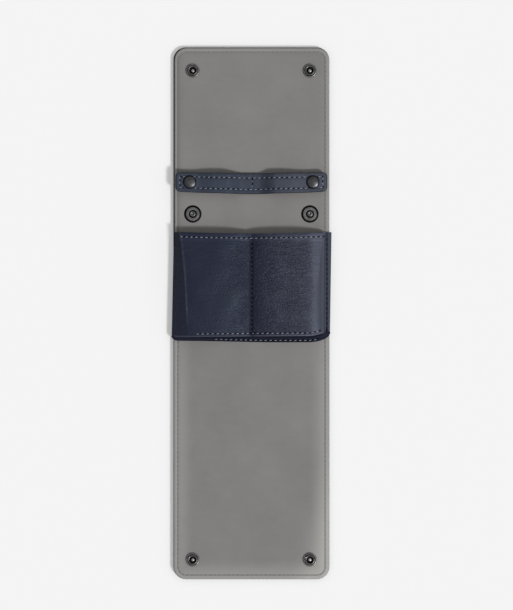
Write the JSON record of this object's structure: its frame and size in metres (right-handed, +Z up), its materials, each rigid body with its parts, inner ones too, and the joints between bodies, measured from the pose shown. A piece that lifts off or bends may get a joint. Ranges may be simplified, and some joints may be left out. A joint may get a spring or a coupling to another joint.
{
  "type": "watch roll",
  "caption": "Padded leather travel roll opened flat, with two folding flaps, a two-compartment watch pocket, a snap-down keeper strap and corner press studs.",
  "frame": {"origin": "under the middle of the panel, at the height of the tips of the studs on the top flap's outer face, which is the lowest point", "axes": "+X across the panel to the right as pictured, +Y along it towards the flap that closes first, +Z up out of the lining"},
  "size_m": [0.114, 0.382, 0.0192],
  "materials": {
    "outer_leather": "navy leather with a fine pebbled grain",
    "pocket_leather": "navy leather with a fine pebbled grain, satin",
    "strap_leather": "navy leather with a soft grain, satin",
    "suede_lining": "matt grey suede-like cloth with a short nap",
    "core": "pressed fibre padding",
    "gunmetal": "dark gunmetal plate, polished",
    "eyelet_steel": "plain nickel plate"
  },
  "bodies": {
    "back": {"outer_leather_back": "outer_leather", "core_back": "core", "lining_back": "suede_lining", "pocket_front": "pocket_leather", "pocket_gusset": "pocket_leather", "pocket_divider": "suede_lining", "pocket_lining_left": "suede_lining", "pocket_lining_right": "suede_lining", "strap_leather_centre": "strap_leather", "strap_backing_centre": "strap_leather", "strap_stud_left": "gunmetal", "strap_stud_right": "gunmetal", "strap_eyelet_left": "eyelet_steel", "strap_eyelet_right": "eyelet_steel", "middle_stud_left": "gunmetal", "middle_stud_right": "gunmetal", "middle_eyelet_left": "eyelet_steel", "middle_eyelet_right": "eyelet_steel"},
    "top_spine": {"outer_leather_top_spine": "outer_leather", "core_top_spine": "core", "lining_top_spine": "suede_lining"},
    "top_flap": {"outer_leather_top_flap": "outer_leather", "core_top_flap": "core", "lining_top_flap": "suede_lining", "top_flap_cap_left": "gunmetal", "top_flap_cap_right": "gunmetal", "top_flap_socket_left": "gunmetal", "top_flap_socket_right": "gunmetal", "flap_back_stud_left": "gunmetal", "flap_back_stud_right": "gunmetal", "flap_back_eyelet_left": "eyelet_steel", "flap_back_eyelet_right": "eyelet_steel"},
    "bottom_spine": {"outer_leather_bottom_spine": "outer_leather", "core_bottom_spine": "core", "lining_bottom_spine": "suede_lining"},
    "bottom_flap": {"outer_leather_bottom_flap": "outer_leather", "core_bottom_flap": "core", "lining_bottom_flap": "suede_lining", "bottom_flap_cap_left": "gunmetal", "bottom_flap_cap_right": "gunmetal", "bottom_flap_socket_left": "gunmetal", "bottom_flap_socket_right": "gunmetal"},
    "strap_left": {"strap_leather_left": "strap_leather", "strap_backing_left": "strap_leather", "strap_cap_left": "gunmetal", "strap_socket_left": "gunmetal"},
    "strap_right": {"strap_leather_right": "strap_leather", "strap_backing_right": "strap_leather", "strap_cap_right": "gunmetal", "strap_socket_right": "gunmetal"}
  },
  "joints": [
    {"name": "top_inner_fold", "type": "hinge", "parent": "back", "child": "top_spine", "pos_m": [0, 0.11463, 0.00631], "axis": [1, 0, 0], "range_deg": [0, 90]},
    {"name": "top_outer_fold", "type": "hinge", "parent": "top_spine", "child": "top_flap", "pos_m": [0, 0.13062, 0.00631], "axis": [1, 0, 0], "range_deg": [0, 90]},
    {"name": "bottom_inner_fold", "type": "hinge", "parent": "back", "child": "bottom_spine", "pos_m": [0, -0.02375, 0.00631], "axis": [-1, 0, 0], "range_deg": [0, 90]},
    {"name": "bottom_outer_fold", "type": "hinge", "parent": "bottom_spine", "child": "bottom_flap", "pos_m": [0, -0.04743, 0.00631], "axis": [-1, 0, 0], "range_deg": [0, 90]},
    {"name": "strap_left_lift", "type": "hinge", "parent": "back", "child": "strap_left", "pos_m": [-0.005, 0.0938, 0.00912], "axis": [0, -1, 0], "range_deg": [-75, 0]},
    {"name": "strap_right_lift", "type": "hinge", "parent": "back", "child": "strap_right", "pos_m": [0.005, 0.0938, 0.00912], "axis": [0, 1, 0], "range_deg": [-75, 0]}
  ]
}
